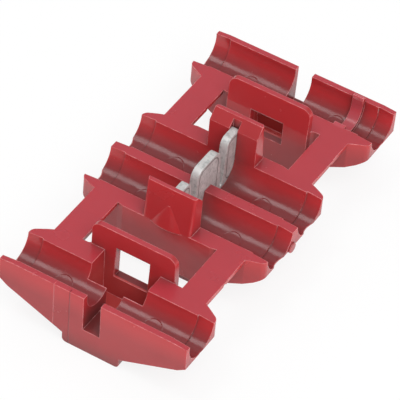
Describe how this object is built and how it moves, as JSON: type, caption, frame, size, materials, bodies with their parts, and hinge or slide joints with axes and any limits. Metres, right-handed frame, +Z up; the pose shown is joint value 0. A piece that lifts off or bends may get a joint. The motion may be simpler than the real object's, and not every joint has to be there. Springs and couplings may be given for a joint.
{
  "type": "wire connector",
  "caption": "Tap-splice wire connector, moulded open and flat: a channelled base with a slotted metal contact, and covers on living-hinge straps that fold over the wires and snap shut.",
  "frame": {"origin": "middle of the connector, on the surface that its bosses rest on", "axes": "+X along the wire channels, +Y from the front cover to the rear cover, +Z up out of the open channels"},
  "size_m": [0.0198, 0.0384, 0.0107],
  "materials": {
    "red_plastic": "glossy, slightly translucent",
    "contact_metal": "tin plated, satin"
  },
  "bodies": {
    "base": {"base": "red_plastic", "contact": "contact_metal"},
    "front_hinge": {"front_hinge_webs": "red_plastic"},
    "front_cover": {"front_cover": "red_plastic"},
    "rear_hinge": {"rear_hinge_webs": "red_plastic"},
    "rear_cover": {"rear_cover": "red_plastic"}
  },
  "joints": [
    {"name": "front_strap_flex", "type": "slide", "parent": "base", "child": "front_hinge", "axis": [0, 0, -1], "range_m": [0, 0.00405], "deforming": ["front_hinge_webs"]},
    {"name": "front_cover_fold", "type": "hinge", "parent": "front_hinge", "child": "front_cover", "pos_m": [0, -0.00965, 0.0086], "axis": [-1, 0, 0], "range_deg": [0, 180]},
    {"name": "rear_strap_flex", "type": "slide", "parent": "base", "child": "rear_hinge", "axis": [0, 0, -1], "range_m": [0, 0.00405], "deforming": ["rear_hinge_webs"]},
    {"name": "rear_cover_fold", "type": "hinge", "parent": "rear_hinge", "child": "rear_cover", "pos_m": [0, 0.00965, 0.0086], "axis": [1, 0, 0], "range_deg": [0, 180]}
  ],
  "couplings": [
    {"joint": "front_cover_fold", "follows": "front_strap_flex", "rad_per_m": 775.7},
    {"joint": "rear_cover_fold", "follows": "rear_strap_flex", "rad_per_m": 775.7}
  ]
}
